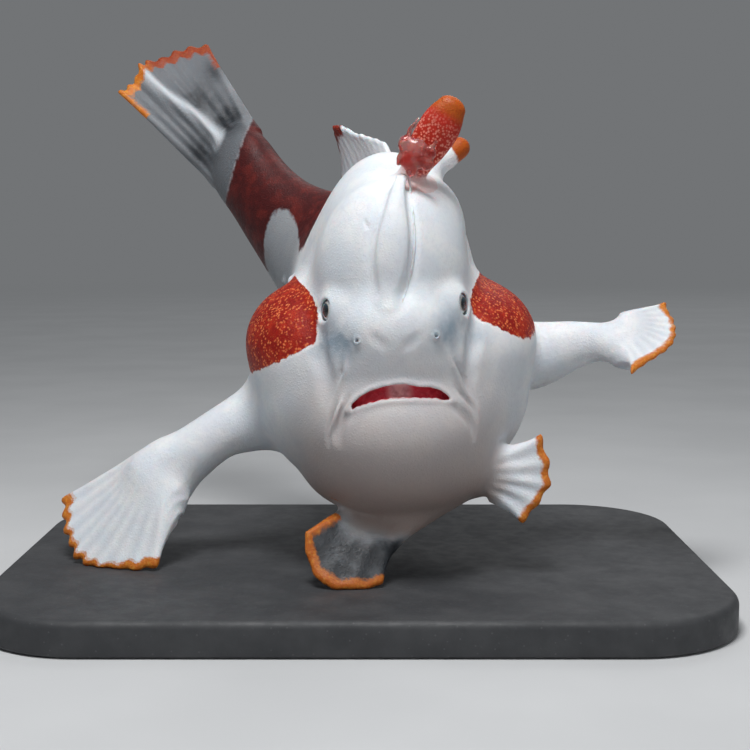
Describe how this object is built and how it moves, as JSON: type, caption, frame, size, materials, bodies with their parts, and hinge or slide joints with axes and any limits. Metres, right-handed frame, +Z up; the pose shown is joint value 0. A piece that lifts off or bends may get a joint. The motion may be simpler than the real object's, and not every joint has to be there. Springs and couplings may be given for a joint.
{
  "type": "frogfish",
  "caption": "Still, life-size model of a young warty frogfish standing on its hand-like fins on a plain display base.",
  "frame": {"origin": "centre of the underside of the display base", "axes": "+Z up, -Y the way the face looks, +X towards the fish's left side"},
  "size_m": [0.064, 0.0524, 0.0543],
  "materials": {
    "skin": "satin, finely grained",
    "red_skin": "satin",
    "orange_tip": "satin",
    "eye": "gloss",
    "lure": "translucent gloss",
    "base": "satin"
  },
  "bodies": {
    "root": {"stand_base": "base", "head": "skin", "lower_jaw": "skin", "torso": "skin", "tail_stalk": "red_skin", "tail_fin": "skin", "dorsal_fin": "skin", "anal_fin": "skin", "dorsal_spine_second": "red_skin", "dorsal_spine_third": "orange_tip", "lure_rod": "skin", "lure": "lure", "eye_left": "eye", "eye_right": "eye", "arm_left": "skin", "arm_right": "skin", "hand_left": "skin", "hand_right": "skin", "pelvic_fin_left": "skin", "pelvic_fin_right": "skin"}
  },
  "joints": []
}
